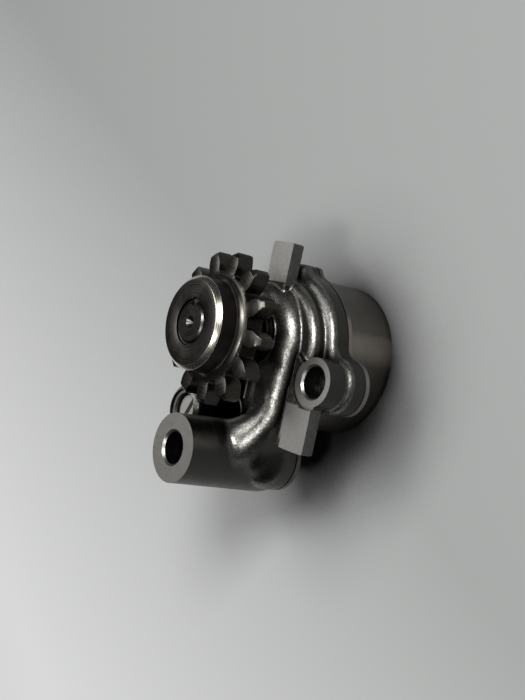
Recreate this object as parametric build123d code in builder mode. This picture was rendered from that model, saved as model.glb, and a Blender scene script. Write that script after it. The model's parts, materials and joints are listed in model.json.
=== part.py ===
from build123d import *
import os
from math import acos, atan2, cos, hypot, pi, radians, sin, tan

os.makedirs("parts", exist_ok=True)

# Engine oil pump: a trochoid rotor pump in a turned cup, closed by a die-cast cover
# that carries the outlet channel, and driven by a gear on the front of the shaft.
# The frame stands on the rear face of the cup, centred on the cup, with +Z along the
# shaft towards the gear. Lengths are millimetres, angles are degrees.

# Cup (pump body)
body_radius = 20.0
body_height = 16.5
body_flange_thickness = 1.2
flange_radius = 21.0
flange_flare = 4.0
eccentricity = 2.35

# Rotor set
outer_rotor_radius = 15.5
rotor_width = 10.0
inner_lobes = 4
steps_per_lobe = 24
root_bunching = 0.85
lobe_circle_radius = 13.2
lobe_radius = 4.4
pocket_corner_radius = 1.6
rotor_mesh_clearance = 0.05
rotor_side_clearance = 0.05
running_clearance = 0.05
port_radius = 10.2
port_width = 4.2
port_sweep = 112.0
port_depth = 3.0
inlet_hole_radius = 3.2

# Shaft and bushes
journal_radius = 4.25
journal_shoulder = 1.2
shaft_radius = 5.2
shaft_clear_radius = 5.5
shaft_rear_inset = 0.8
shaft_end_chamfer = 0.4
centre_drill_radius = 1.5
centre_drill_depth = 1.4
rear_bush_wall = 1.75
front_bush_wall = 1.0
bush_inset = 0.5
front_bush_length = 10.0
rotor_pin_radius = 1.5
rotor_pin_length = 16.0
rotor_pin_rise = 0.3
rotor_pin_chamfer = 0.3
fit_clearance = 0.02

# Gasket
gasket_thickness = 0.4
gasket_inset = 0.3
spigot_clearance = 0.1

# Cover steps, measured up from its joint face, as are the bosses, the channel and the outlet
cover_flange_height = 5.2
cover_flange_fillet = 2.2
cover_step_radius = 18.4
cover_step_height = 4.0
cover_step_fillet = 2.6
recess_width = 15.0
recess_length = 13.5
recess_x = -2.5
recess_y = -12.8
recess_corner = 2.5
shaft_boss_wall = 1.3
shaft_boss_rise = 0.4

# Bolt bosses, one each side of the cup
bolt_circle_radius = 23.3
bolt_angle = -14.0
bolt_boss_radius = 6.2
bolt_lobe_radius = 7.3
bolt_boss_height = 11.0
bolt_bore_radius = 4.0
bolt_mouth_chamfer = 0.9
boss_web_reach = 8.1
boss_web_up = 6.4
boss_web_down = 5.7
ring_dowel_bore_radius = 3.25
ring_dowel_length = 7.0

# Lugs cast on the cover
lug_thickness = 3.7
top_lug_width = 8.2
top_lug_x = 0.4
top_lug_end = 27.4
low_lug_width = 10.6
low_lug_x = 19.3
low_lug_end = -23.6
low_lug_root = -8.0
low_lug_ridge = 3.0

# Outlet channel and outlet stub
channel_radius = 4.9
channel_floor = 3.2
channel_bore_radius = 2.2
channel_arc_x = -2.6
channel_arc_y = 0.6
channel_arc_radius = 11.6
channel_arc_start = 90.0
channel_arc_sweep = -95.0
channel_straight = 12.3
channel_sink = 1.0
channel_web_sink = 0.25
web_corner = (1.2, -18.2)
web_waist = (3.4, -14.2)
web_neck = (2.1, -7.8)
elbow_lead_in = 9.5
elbow_drop = 1.1
elbow_rise = 13.0
elbow_steps = 4
outlet_x = -5.0
outlet_y = -30.0
outlet_height = 28.1
outlet_radius = 9.0
outlet_taper = 0.6
outlet_bore_radius = 4.2
outlet_mouth_chamfer = 0.55
foot_radius = 8.8
foot_x = 1.8
foot_y = -28.2
foot_height = 7.5
foot_taper = 8.0
foot_fillet = 4.0
foot_web_radius = 6.6
foot_web_place = (2.6, -24.0)

# Relief valve in its own boss beside the outlet
valve_x = -16.5
valve_y = -21.25
valve_boss_radius = 6.75
valve_bore_radius = 3.6
valve_seat_rise = 1.6
valve_inlet_radius = 2.2
valve_plunger_length = 7.0
valve_plunger_wall = 0.8
valve_plunger_floor = 2.0
valve_stroke = 3.0
valve_port_radius = 1.4
spill_rise = 0.3
plug_radius = 4.5
plug_length = 3.6
plug_recess = 1.4
plug_slot_width = 1.4
plug_slot_depth = 1.2
plug_slot_angle = 62.0
plug_chamfer = 0.5
spring_wire_radius = 0.4
spring_turns = 5
spring_clearance = 0.15
passage_radius = 1.2
passage_rise = 2.5
ball_radius = 1.6
ball_depth = 0.6

# Screw into the cup's wall and dowel pin at the top lobe
screw_angle = 198.0
screw_radius = 1.5
screw_hole_clearance = 0.1
screw_seat_rise = 4.0
screw_spot_radius = 3.3
screw_head_radius = 2.75
screw_head_height = 2.0
screw_length = 14.0
screw_tip_clearance = 0.4
screw_slot_width = 0.8
screw_slot_depth = 0.9
screw_chamfer = 0.3
screw_washer_thickness = 0.8
screw_washer_radius = 2.6
screw_washer_split = 0.8
screw_washer_split_angle = 20.0
dowel_radius = 1.5
dowel_length = 6.0
dowel_x = 0.6
dowel_y = 17.9
top_lobe_half_width = 5.6
top_lobe_end = 23.0
top_lobe_corner = 1.8

# Drive gear
gear_teeth = 13
gear_module = 2.6
gear_pressure_angle = 20.0
gear_tooth_angle = 24.7
gear_gap = 9.1
gear_width = 4.8
gear_root_fillet = 0.9
gear_dedendum = 1.2
flank_steps_per_tooth = 4
shoulder_radius = 13.2
shoulder_height = 0.9
shoulder_spread = 0.4
hub_root_rise = 1.0
tooth_chamfer = 1.1
hub_radius = 11.9
hub_height = 7.0
hub_chamfer = 1.2
hub_groove_width = 0.65
hub_groove_depth = 0.7
key_width = 1.6
key_height = 1.9
key_length = 9.0

# Thrust washer and circlip on the shaft, in front of the cover's boss
washer_thickness = 1.0
washer_radius = 7.2
washer_clearance = 0.1
circlip_thickness = 1.0
circlip_radius = 6.9
circlip_groove_depth = 0.5
circlip_gap = 3.0

# Search tolerance for faces and edges
tolerance = 0.01

# Derived places
joint_face = body_height + gasket_thickness
flange_back = body_height - body_flange_thickness
pocket_depth = rotor_width + 2 * rotor_side_clearance
pocket_radius = outer_rotor_radius + running_clearance
pocket_floor = body_height - pocket_depth
rotor_floor = pocket_floor + rotor_side_clearance
outer_lobes = inner_lobes + 1
right_bolt = (bolt_circle_radius * cos(radians(bolt_angle)), bolt_circle_radius * sin(radians(bolt_angle)))
left_bolt = (-right_bolt[0], -right_bolt[1])
screw_circle_radius = (pocket_radius + body_radius) / 2
screw_direction = (cos(radians(screw_angle)), sin(radians(screw_angle)))
screw_place = (screw_circle_radius * screw_direction[0], screw_circle_radius * screw_direction[1])
dowel_place = (dowel_x, dowel_y)
valve_place = (valve_x, valve_y)
outlet_place = (outlet_x, outlet_y)
foot_place = (foot_x, foot_y)
channel_centre = (channel_arc_x, channel_arc_y)
cover_top = joint_face + cover_flange_height
step_top = cover_top + cover_step_height
bolt_boss_face = joint_face + bolt_boss_height
lug_back = bolt_boss_face - lug_thickness
channel_height = joint_face + channel_floor + channel_radius
shaft_boss_face = channel_height + channel_radius + shaft_boss_rise
outlet_face = joint_face + outlet_height
gear_back = shaft_boss_face + gear_gap
gear_face = gear_back + gear_width
hub_face = gear_face + hub_height
washer_base = shaft_boss_face + washer_clearance
circlip_base = washer_base + washer_thickness
journal_top = joint_face + journal_shoulder
rear_bush_radius = journal_radius + rear_bush_wall
front_bush_radius = shaft_radius + front_bush_wall
shaft_boss_radius = front_bush_radius + shaft_boss_wall
front_bush_base = shaft_boss_face - bush_inset - front_bush_length
rotor_pin_height = rotor_floor + rotor_pin_rise + rotor_pin_radius
passage_height = joint_face + passage_rise
valve_seat_height = passage_height + valve_seat_rise
plug_base = valve_seat_height + valve_plunger_length + valve_stroke
valve_boss_face = plug_base + plug_length + plug_recess
screw_seat = joint_face + screw_seat_rise
screw_head_base = screw_seat + screw_washer_thickness
screw_hole_floor = screw_head_base - screw_length - screw_tip_clearance
spigot_face = body_height + rotor_side_clearance
spill_height = valve_seat_height + valve_port_radius + spill_rise
shaft_axis = Axis((0, eccentricity, 0), (0, 0, 1))
passage_direction = Vector(outlet_x - valve_x, outlet_y - valve_y, 0).normalized()
passage_mouth = Vector(valve_x, valve_y, passage_height) - passage_direction * valve_boss_radius
passage_length = valve_boss_radius + hypot(outlet_x - valve_x, outlet_y - valve_y)


def shaft_plane(height):
    """Level plane at this height, centred on the shaft."""
    return Plane((0, eccentricity, height))


def trochoid_point(angle, inset):
    """Point of the inner rotor's flank: the lobe-centre trochoid moved inwards by inset."""
    x = lobe_circle_radius * cos(angle) + eccentricity * cos(outer_lobes * angle)
    y = lobe_circle_radius * sin(angle) + eccentricity * sin(outer_lobes * angle)
    dx = -lobe_circle_radius * sin(angle) - outer_lobes * eccentricity * sin(outer_lobes * angle)
    dy = lobe_circle_radius * cos(angle) + outer_lobes * eccentricity * cos(outer_lobes * angle)
    return (x - inset * dy / hypot(dx, dy), y + inset * dx / hypot(dx, dy))


def flank_parameter(step):
    """Trochoid angle for an even step round the rotor: closer together in the tight roots."""
    return step + root_bunching * sin(inner_lobes * step) / inner_lobes


def involute_angle(pressure_angle):
    """Involute function of a pressure angle in radians."""
    return tan(pressure_angle) - pressure_angle


def level_faces(piece, height):
    """Faces of the piece that lie level at this height."""
    return piece.faces().filter_by_position(Axis.Z, height - tolerance, height + tolerance)


def mouth_edges(piece, centre, radius, height):
    """Round edge of this radius about centre at this height of the piece."""
    rings = piece.edges().filter_by(GeomType.CIRCLE)
    rings = rings.filter_by_position(Axis.Z, height - tolerance, height + tolerance)
    return [
        ring
        for ring in rings
        if abs(ring.radius - radius) < tolerance
        and hypot(ring.arc_center.X - centre[0], ring.arc_center.Y - centre[1]) < tolerance
    ]


# Outline shared by the cup's thin flange, the gasket and the cover's joint face
with BuildSketch() as joint_outline:
    Circle(flange_radius)
    with Locations(right_bolt, left_bolt):
        Circle(bolt_lobe_radius)
    with Locations((dowel_x - top_lobe_half_width / 2, top_lobe_end / 2)):
        RectangleRounded(2 * top_lobe_half_width, top_lobe_end, top_lobe_corner)
    with Locations(valve_place):
        Circle(valve_boss_radius)
    with Locations(outlet_place):
        Circle(outlet_radius)
    with Locations(foot_place):
        Circle(foot_radius)
    with BuildLine():
        Polyline((0, 0), valve_place, outlet_place, foot_place, close=True)
    make_face()
    offset(amount=flange_flare)
    offset(amount=-flange_flare)

# Holes that run through the joint: two ring dowels, one screw and one dowel pin
with BuildSketch() as joint_holes:
    with Locations(right_bolt, left_bolt):
        Circle(bolt_bore_radius)
    with Locations(screw_place):
        Circle(screw_radius + screw_hole_clearance)
    with Locations(dowel_place):
        Circle(dowel_radius)


# Pump body: turned cup with an offset shaft bore and a thin lobed flange
with BuildPart() as pump_body:
    with BuildSketch():
        Circle(body_radius)
    extrude(amount=body_height)
    with BuildSketch(Plane.XY.offset(flange_back)):
        add(joint_outline.sketch)
    extrude(amount=body_flange_thickness)
    with BuildSketch(Plane.XY.offset(flange_back)):
        add(joint_holes.sketch)
    extrude(amount=body_flange_thickness, mode=Mode.SUBTRACT)
    with BuildSketch(Plane.XY.offset(body_height - dowel_length / 2)):
        with Locations(dowel_place):
            Circle(dowel_radius)
    extrude(amount=dowel_length / 2, mode=Mode.SUBTRACT)
    with BuildSketch(Plane.XY.offset(pocket_floor)):
        Circle(pocket_radius)
    extrude(amount=pocket_depth, mode=Mode.SUBTRACT)
    with BuildSketch(shaft_plane(0)):
        Circle(rear_bush_radius)
    extrude(amount=pocket_floor, mode=Mode.SUBTRACT)
    with BuildSketch(Plane.XY.offset(pocket_floor - port_depth)):
        SlotArc(CenterArc((0, 0), port_radius, 180 - port_sweep / 2, port_sweep), port_width)
    extrude(amount=port_depth, mode=Mode.SUBTRACT)
    with BuildSketch():
        with Locations((-port_radius, 0)):
            Circle(inlet_hole_radius)
    extrude(amount=pocket_floor - port_depth, mode=Mode.SUBTRACT)
    with BuildSketch(Plane.XY.offset(screw_hole_floor)):
        with Locations(screw_place):
            Circle(screw_radius)
    extrude(amount=body_height - screw_hole_floor, mode=Mode.SUBTRACT)


# Gasket: thin sheet with the joint's outline and a window over the rotor pocket
with BuildPart() as cover_gasket:
    with BuildSketch(Plane.XY.offset(body_height)):
        add(joint_outline.sketch)
        offset(amount=-gasket_inset)
        add(joint_holes.sketch, mode=Mode.SUBTRACT)
        Circle(pocket_radius, mode=Mode.SUBTRACT)
    extrude(amount=gasket_thickness)


# Outline of the foot under the outlet bend
with BuildSketch() as foot_outline:
    with Locations(outlet_place):
        Circle(outlet_radius)
    with Locations(foot_place):
        Circle(foot_radius)
    make_hull()

# Centre line of the outlet channel: round the right of the shaft and straight down
with BuildLine(Plane.XY.offset(channel_height)) as channel_path:
    upper = CenterArc(channel_centre, channel_arc_radius, channel_arc_start, channel_arc_sweep)
    Line(upper @ 1, upper @ 1 + upper % 1 * channel_straight)

# Centre line of the elbow that turns the channel up into the outlet stub
elbow_start = channel_path.wire() @ 1
elbow_low = Vector(outlet_x, outlet_y, channel_height - elbow_drop)
elbow_across = (elbow_low - elbow_start).cross(Vector(0, 0, 1))
with BuildLine() as elbow_path:
    Bezier(
        elbow_start,
        elbow_start + channel_path.wire() % 1 * elbow_lead_in,
        elbow_low,
        elbow_low + Vector(0, 0, elbow_rise + elbow_drop),
    )


def elbow_radius(share):
    """Radius of the elbow at this share of its length, easing from the channel to the stub."""
    return channel_radius + (outlet_radius - channel_radius) * share * share * (3 - 2 * share)


def elbow_plane(share):
    """Plane square to the elbow at this share of its length, its x axis kept level."""
    return Plane(elbow_path.wire() @ share, x_dir=elbow_across, z_dir=elbow_path.wire() % share)


def channel_section(radius, drop):
    """Section across the channel: round on top, with straight sides going down by drop."""
    start = channel_path.wire() @ 0
    along = channel_path.wire() % 0
    with BuildSketch(Plane(start, x_dir=Vector(0, 0, 1).cross(along), z_dir=along)) as section:
        Circle(radius)
        if drop > 0:
            with Locations((0, -drop / 2)):
                Rectangle(2 * radius, drop)
    return section.sketch


channel_outer = channel_section(channel_radius, channel_height - cover_top + channel_sink)
channel_inner = channel_section(channel_bore_radius, 0)

# Outline of the flat web between the channel, the shaft boss and the outlet stub
with BuildSketch() as channel_web:
    with BuildLine():
        crown = CenterArc(channel_centre, channel_arc_radius, channel_arc_start, channel_arc_sweep)
        Polyline(
            crown @ 1,
            (elbow_start.X, elbow_start.Y),
            foot_web_place,
            outlet_place,
            (outlet_x, outlet_y + outlet_radius),
            web_corner,
            web_waist,
            web_neck,
            (0, eccentricity),
            crown @ 0,
        )
    make_face()

# Outline of the solid metal under the elbow
with BuildSketch() as elbow_foot:
    with Locations((elbow_start.X, elbow_start.Y)):
        Circle(channel_radius)
    with Locations(foot_web_place):
        Circle(foot_web_radius)
    make_hull()

# Pump cover: die-cast steps, outlet channel, outlet stub, valve boss, bolt bosses and lugs
with BuildPart() as pump_cover:
    with BuildSketch(Plane.XY.offset(joint_face)):
        add(joint_outline.sketch)
    extrude(amount=cover_flange_height)
    fillet(pump_cover.faces().sort_by(Axis.Z)[-1].edges(), cover_flange_fillet)
    with BuildSketch(Plane.XY.offset(joint_face)):
        Circle(cover_step_radius)
    extrude(amount=step_top - joint_face)
    fillet(pump_cover.faces().sort_by(Axis.Z)[-1].edges(), cover_step_fillet)
    with BuildSketch(Plane.XY.offset(joint_face)):
        add(foot_outline.sketch)
    extrude(amount=foot_height, taper=foot_taper)
    fillet(level_faces(pump_cover, joint_face + foot_height).edges(), foot_fillet)
    # recess cast into the steps between the shaft boss and the valve
    with BuildSketch(Plane.XY.offset(cover_top)):
        with Locations((recess_x, recess_y)):
            RectangleRounded(recess_width, recess_length, recess_corner)
    extrude(amount=step_top - cover_top, mode=Mode.SUBTRACT)
    # outlet channel with its web, then the elbow up to the stub
    sweep(sections=channel_outer, path=channel_path.wire())
    with Locations(channel_path.wire() @ 0):
        Sphere(channel_radius)
    with BuildSketch(Plane.XY.offset(cover_top - channel_sink)):
        add(channel_web.sketch)
    extrude(amount=channel_height + channel_radius - channel_web_sink - cover_top + channel_sink)
    with BuildSketch(Plane.XY.offset(joint_face)):
        add(elbow_foot.sketch)
    extrude(amount=channel_height - joint_face)
    for step in range(elbow_steps + 1):
        with BuildSketch(elbow_plane(step / elbow_steps)):
            Circle(elbow_radius(step / elbow_steps))
    loft()
    with BuildSketch(shaft_plane(joint_face)):
        Circle(shaft_boss_radius)
    extrude(amount=shaft_boss_face - joint_face)
    with BuildSketch(Plane.XY.offset(joint_face)):
        with Locations(right_bolt, left_bolt):
            Circle(bolt_boss_radius)
    extrude(amount=bolt_boss_face - joint_face)
    with BuildSketch(Plane.XY.offset(joint_face)):
        with Locations(valve_place):
            Circle(valve_boss_radius)
    extrude(amount=valve_boss_face - joint_face)
    with BuildSketch(Plane.XY.offset(outlet_face)):
        with Locations(outlet_place):
            Circle(outlet_radius)
    extrude(amount=joint_face - outlet_face, taper=-outlet_taper)
    with BuildSketch(Plane.XY.offset(lug_back)):
        with Locations((top_lug_x, (top_lug_end + eccentricity) / 2)):
            Rectangle(top_lug_width, top_lug_end - eccentricity)
    extrude(amount=lug_thickness)
    # low lug, with a round ridge along its inner side
    with BuildSketch(Plane.XZ.offset(-low_lug_end)) as low_lug:
        with Locations((low_lug_x, bolt_boss_face - lug_thickness / 2)):
            Rectangle(low_lug_width, lug_thickness)
        fillet(low_lug.vertices().group_by(Axis.Z)[-1].sort_by(Axis.X)[0], low_lug_ridge)
    extrude(amount=low_lug_end - low_lug_root)
    # flat web from the right bolt boss towards the channel
    with BuildSketch(Plane.XY.offset(cover_top)):
        with BuildLine():
            Polyline(
                right_bolt,
                (right_bolt[0] - boss_web_reach, right_bolt[1] + boss_web_up),
                (right_bolt[0] - boss_web_reach, right_bolt[1] - boss_web_down),
                close=True,
            )
        make_face()
    extrude(amount=bolt_boss_face - cover_top)
    # spigot that fills the gasket's window and closes the rotor pocket
    with BuildSketch(Plane.XY.offset(spigot_face)):
        Circle(pocket_radius - spigot_clearance)
    extrude(amount=joint_face - spigot_face)
    # shaft bore and front bush seat
    with BuildSketch(shaft_plane(spigot_face)):
        Circle(shaft_clear_radius)
    extrude(amount=shaft_boss_face - spigot_face, mode=Mode.SUBTRACT)
    with BuildSketch(shaft_plane(front_bush_base)):
        Circle(front_bush_radius)
    extrude(amount=shaft_boss_face - front_bush_base, mode=Mode.SUBTRACT)
    # bolt, screw and dowel holes
    with BuildSketch(Plane.XY.offset(joint_face)):
        with Locations(right_bolt, left_bolt):
            Circle(bolt_bore_radius)
    extrude(amount=bolt_boss_face - joint_face, mode=Mode.SUBTRACT)
    with BuildSketch(Plane.XY.offset(joint_face)):
        with Locations(screw_place):
            Circle(screw_radius + screw_hole_clearance)
    extrude(amount=screw_seat - joint_face, mode=Mode.SUBTRACT)
    with BuildSketch(Plane.XY.offset(screw_seat)):
        with Locations(screw_place):
            Circle(screw_spot_radius)
    extrude(amount=bolt_boss_face - screw_seat, mode=Mode.SUBTRACT)
    with BuildSketch(Plane.XY.offset(joint_face)):
        with Locations(dowel_place):
            Circle(dowel_radius)
    extrude(amount=dowel_length / 2, mode=Mode.SUBTRACT)
    # discharge port, channel bore and outlet bore
    with BuildSketch(Plane.XY.offset(spigot_face)):
        SlotArc(CenterArc((0, 0), port_radius, -port_sweep / 2, port_sweep), port_width)
    extrude(amount=channel_height - spigot_face - channel_bore_radius / 2, mode=Mode.SUBTRACT)
    sweep(sections=channel_inner, path=channel_path.wire(), mode=Mode.SUBTRACT)
    with BuildSketch(elbow_plane(0)):
        Circle(channel_bore_radius)
    sweep(path=elbow_path.wire(), mode=Mode.SUBTRACT)
    with BuildSketch(Plane.XY.offset(outlet_face)):
        with Locations(outlet_place):
            Circle(outlet_bore_radius)
    extrude(amount=passage_height - passage_radius - outlet_face, mode=Mode.SUBTRACT)
    # relief valve bore, its inlet and its spill port
    with BuildSketch(Plane.XY.offset(valve_boss_face)):
        with Locations(valve_place):
            Circle(plug_radius)
    extrude(amount=plug_base - valve_boss_face, mode=Mode.SUBTRACT)
    with BuildSketch(Plane.XY.offset(valve_seat_height)):
        with Locations(valve_place):
            Circle(valve_bore_radius)
    extrude(amount=plug_base - valve_seat_height, mode=Mode.SUBTRACT)
    with BuildSketch(Plane.XY.offset(passage_height - passage_radius)):
        with Locations(valve_place):
            Circle(valve_inlet_radius)
    extrude(amount=valve_seat_height - passage_height + passage_radius, mode=Mode.SUBTRACT)

    # cross passage from the outlet bore to the valve, drilled from outside and closed by a ball
    with BuildSketch(Plane(passage_mouth, x_dir=(0, 0, 1), z_dir=passage_direction)):
        Circle(passage_radius)
    extrude(amount=passage_length, mode=Mode.SUBTRACT)
    with BuildSketch(Plane(passage_mouth, x_dir=(0, 0, 1), z_dir=passage_direction)):
        Circle(ball_radius)
    extrude(amount=ball_depth + 2 * ball_radius, mode=Mode.SUBTRACT)
    # spill port that the plunger uncovers when it lifts
    with BuildSketch(Plane((valve_x, valve_y, spill_height), z_dir=(-1, 0, 0))):
        Circle(valve_port_radius)
    extrude(amount=2 * valve_boss_radius, mode=Mode.SUBTRACT)
    chamfer(mouth_edges(pump_cover, outlet_place, outlet_bore_radius, outlet_face), outlet_mouth_chamfer)
    chamfer(mouth_edges(pump_cover, right_bolt, bolt_bore_radius, bolt_boss_face), bolt_mouth_chamfer)
    chamfer(mouth_edges(pump_cover, left_bolt, bolt_bore_radius, bolt_boss_face), bolt_mouth_chamfer)


# Inner rotor: four trochoid lobes, with a slot across its lower face for the drive pin
rotor_inset = lobe_radius + rotor_mesh_clearance
flank_steps = steps_per_lobe * inner_lobes
flank_angles = [flank_parameter(2 * pi * i / flank_steps) for i in range(flank_steps)]
rotor_points = [trochoid_point(angle, rotor_inset) for angle in flank_angles]
with BuildPart() as inner_rotor:
    with BuildSketch(shaft_plane(rotor_floor)):
        with BuildLine():
            Spline(*rotor_points, periodic=True)
        make_face()
        Circle(journal_radius + fit_clearance, mode=Mode.SUBTRACT)
    extrude(amount=rotor_width)
    with BuildSketch(shaft_plane(rotor_floor)):
        Rectangle(rotor_pin_length + 2 * rotor_pin_rise, 2 * (rotor_pin_radius + fit_clearance))
    extrude(amount=rotor_pin_rise + 2 * rotor_pin_radius + fit_clearance, mode=Mode.SUBTRACT)

# Outer rotor: ring with five round lobes inside, concentric with the cup
with BuildPart() as outer_rotor:
    with BuildSketch(Plane.XY.offset(rotor_floor)):
        Circle(outer_rotor_radius)
        with BuildSketch(mode=Mode.PRIVATE) as rotor_space:
            Circle(lobe_circle_radius - lobe_radius + 2 * eccentricity + rotor_mesh_clearance)
            with PolarLocations(lobe_circle_radius, outer_lobes, start_angle=-90):
                Circle(lobe_radius, mode=Mode.SUBTRACT)
            fillet(rotor_space.vertices(), pocket_corner_radius)
        add(rotor_space.sketch, mode=Mode.SUBTRACT)
    extrude(amount=rotor_width)

# Drive pin across the shaft, seated in the inner rotor's slot
with BuildPart() as rotor_pin:
    with BuildSketch(Plane((-rotor_pin_length / 2, eccentricity, rotor_pin_height), z_dir=(1, 0, 0))):
        Circle(rotor_pin_radius)
    extrude(amount=rotor_pin_length)
    chamfer(rotor_pin.edges().filter_by(GeomType.CIRCLE), rotor_pin_chamfer)

# Drive shaft: journal through the rotors, larger front end up to the hub face
with BuildPart() as drive_shaft:
    with BuildSketch(Plane.XZ.offset(-eccentricity)):
        with BuildLine():
            Polyline(
                (0, shaft_rear_inset),
                (journal_radius - shaft_end_chamfer, shaft_rear_inset),
                (journal_radius, shaft_rear_inset + shaft_end_chamfer),
                (journal_radius, journal_top),
                (shaft_radius, journal_top + shaft_radius - journal_radius),
                (shaft_radius, hub_face - shaft_end_chamfer),
                (shaft_radius - shaft_end_chamfer, hub_face),
                (centre_drill_radius, hub_face),
                (0, hub_face - centre_drill_depth),
                close=True,
            )
        make_face()
    revolve(axis=shaft_axis)
    with BuildSketch(Plane((-shaft_radius, eccentricity, rotor_pin_height), z_dir=(1, 0, 0))):
        Circle(rotor_pin_radius)
    extrude(amount=2 * shaft_radius, mode=Mode.SUBTRACT)
    with BuildSketch(shaft_plane(hub_face - key_length)):
        with Locations((0, shaft_radius)):
            Rectangle(key_width, key_height)
    extrude(amount=key_length, mode=Mode.SUBTRACT)
    with BuildSketch(shaft_plane(circlip_base)):
        Circle(shaft_radius)
        Circle(shaft_radius - circlip_groove_depth, mode=Mode.SUBTRACT)
    extrude(amount=circlip_thickness, mode=Mode.SUBTRACT)

# Bronze bushes pressed into the cup and the cover
with BuildPart() as rear_bush:
    with BuildSketch(shaft_plane(bush_inset)):
        Circle(rear_bush_radius)
        Circle(journal_radius + running_clearance, mode=Mode.SUBTRACT)
    extrude(amount=pocket_floor - 2 * bush_inset)

with BuildPart() as front_bush:
    with BuildSketch(shaft_plane(front_bush_base)):
        Circle(front_bush_radius)
        Circle(shaft_radius + running_clearance, mode=Mode.SUBTRACT)
    extrude(amount=front_bush_length)

# Thrust washer on the cover's boss, held by a circlip in the shaft's groove
with BuildPart() as thrust_washer:
    with BuildSketch(shaft_plane(washer_base)):
        Circle(washer_radius)
        Circle(shaft_radius + fit_clearance, mode=Mode.SUBTRACT)
    extrude(amount=washer_thickness)

with BuildPart() as shaft_circlip:
    with BuildSketch(shaft_plane(circlip_base)):
        Circle(circlip_radius)
        Circle(shaft_radius - circlip_groove_depth, mode=Mode.SUBTRACT)
        with Locations((0, -circlip_radius)):
            Rectangle(circlip_gap, 2 * circlip_radius - shaft_radius, mode=Mode.SUBTRACT)
    extrude(amount=circlip_thickness)

# One tooth space of the drive gear, on the +X axis of the gear
pitch_radius = gear_module * gear_teeth / 2
base_radius = pitch_radius * cos(radians(gear_pressure_angle))
gear_tip_radius = pitch_radius + gear_module
gear_root_radius = pitch_radius - gear_dedendum * gear_module
space_half_angle = pi / (2 * gear_teeth)


def flank_point(radius, side):
    """Point on the space's flank at this radius; side is 1 or -1."""
    opening = involute_angle(acos(base_radius / radius)) - involute_angle(radians(gear_pressure_angle))
    angle = side * (space_half_angle + opening)
    return (radius * cos(angle), radius * sin(angle))


flank_rise = (gear_tip_radius - base_radius) / flank_steps_per_tooth
flank_radii = [base_radius + flank_rise * i for i in range(flank_steps_per_tooth + 1)]
root_angle = atan2(flank_point(base_radius, 1)[1], flank_point(base_radius, 1)[0])
root_corner = (gear_root_radius * cos(root_angle), gear_root_radius * sin(root_angle))
with BuildSketch() as tooth_space:
    with BuildLine():
        Spline(*[flank_point(radius, 1) for radius in flank_radii])
        Spline(*[flank_point(radius, -1) for radius in flank_radii])
        Line(flank_point(base_radius, 1), root_corner)
        Line(flank_point(base_radius, -1), (root_corner[0], -root_corner[1]))
        ThreePointArc(root_corner, (gear_root_radius, 0), (root_corner[0], -root_corner[1]))
        Polyline(
            flank_point(gear_tip_radius, 1),
            (gear_tip_radius + gear_module, flank_point(gear_tip_radius, 1)[1]),
            (gear_tip_radius + gear_module, flank_point(gear_tip_radius, -1)[1]),
            flank_point(gear_tip_radius, -1),
        )
    make_face()
    fillet(tooth_space.vertices().group_by(Axis.X)[0], gear_root_fillet)

# Drive gear with its shoulder and hub in one piece
hub_foot = gear_face + shoulder_height + hub_root_rise
with BuildPart() as drive_gear:
    with BuildSketch(shaft_plane(gear_back)):
        Circle(gear_tip_radius)
        with PolarLocations(0, gear_teeth, start_angle=gear_tooth_angle + 180 / gear_teeth):
            add(tooth_space.sketch, mode=Mode.SUBTRACT)
    extrude(amount=gear_width)
    # chamfer turned on the front corner of the teeth
    with BuildSketch(Plane.XZ.offset(-eccentricity)):
        with BuildLine():
            Polyline(
                (gear_tip_radius - tooth_chamfer, gear_face),
                (gear_tip_radius + tooth_chamfer, gear_face),
                (gear_tip_radius + tooth_chamfer, gear_face - 2 * tooth_chamfer),
                close=True,
            )
        make_face()
    revolve(axis=shaft_axis, mode=Mode.SUBTRACT)
    with BuildSketch(Plane.XZ.offset(-eccentricity)):
        with BuildLine():
            Line((shoulder_radius, gear_face), (0, gear_face))
            Line((0, gear_face), (0, hub_face))
            Line((0, hub_face), (hub_radius - hub_chamfer, hub_face))
            Line((hub_radius - hub_chamfer, hub_face), (hub_radius, hub_face - hub_chamfer))
            Line((hub_radius, hub_face - hub_chamfer), (hub_radius, hub_foot))
            Spline(
                (hub_radius, hub_foot),
                (hub_radius + shoulder_spread, gear_face + shoulder_height),
                (shoulder_radius, gear_face),
            )
        make_face()
    revolve(axis=shaft_axis)
    with BuildSketch(shaft_plane(gear_back)):
        Circle(shaft_radius + fit_clearance)
        with Locations((0, shaft_radius)):
            Rectangle(key_width, key_height)
    extrude(amount=hub_face - gear_back, mode=Mode.SUBTRACT)
    with BuildSketch(shaft_plane(hub_face - hub_groove_depth)):
        Circle(shaft_radius + hub_groove_width)
    extrude(amount=hub_groove_depth, mode=Mode.SUBTRACT)

# Key between the shaft and the gear's hub
with BuildPart() as gear_key:
    with BuildSketch(shaft_plane(hub_face - key_length)):
        with Locations((0, shaft_radius)):
            Rectangle(key_width - 2 * fit_clearance, key_height - 2 * fit_clearance)
    extrude(amount=key_length - hub_groove_depth)

# Ring dowels in the two bolt bores
with BuildPart() as ring_dowels:
    with BuildSketch(Plane.XY.offset(flange_back)):
        with Locations(right_bolt, left_bolt):
            Circle(bolt_bore_radius)
            Circle(ring_dowel_bore_radius, mode=Mode.SUBTRACT)
    extrude(amount=ring_dowel_length)

# Dowel pin at the top lobe
with BuildPart() as locating_dowel:
    with BuildSketch(Plane.XY.offset(body_height - dowel_length / 2)):
        with Locations(dowel_place):
            Circle(dowel_radius)
    extrude(amount=dowel_length + gasket_thickness)

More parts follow.
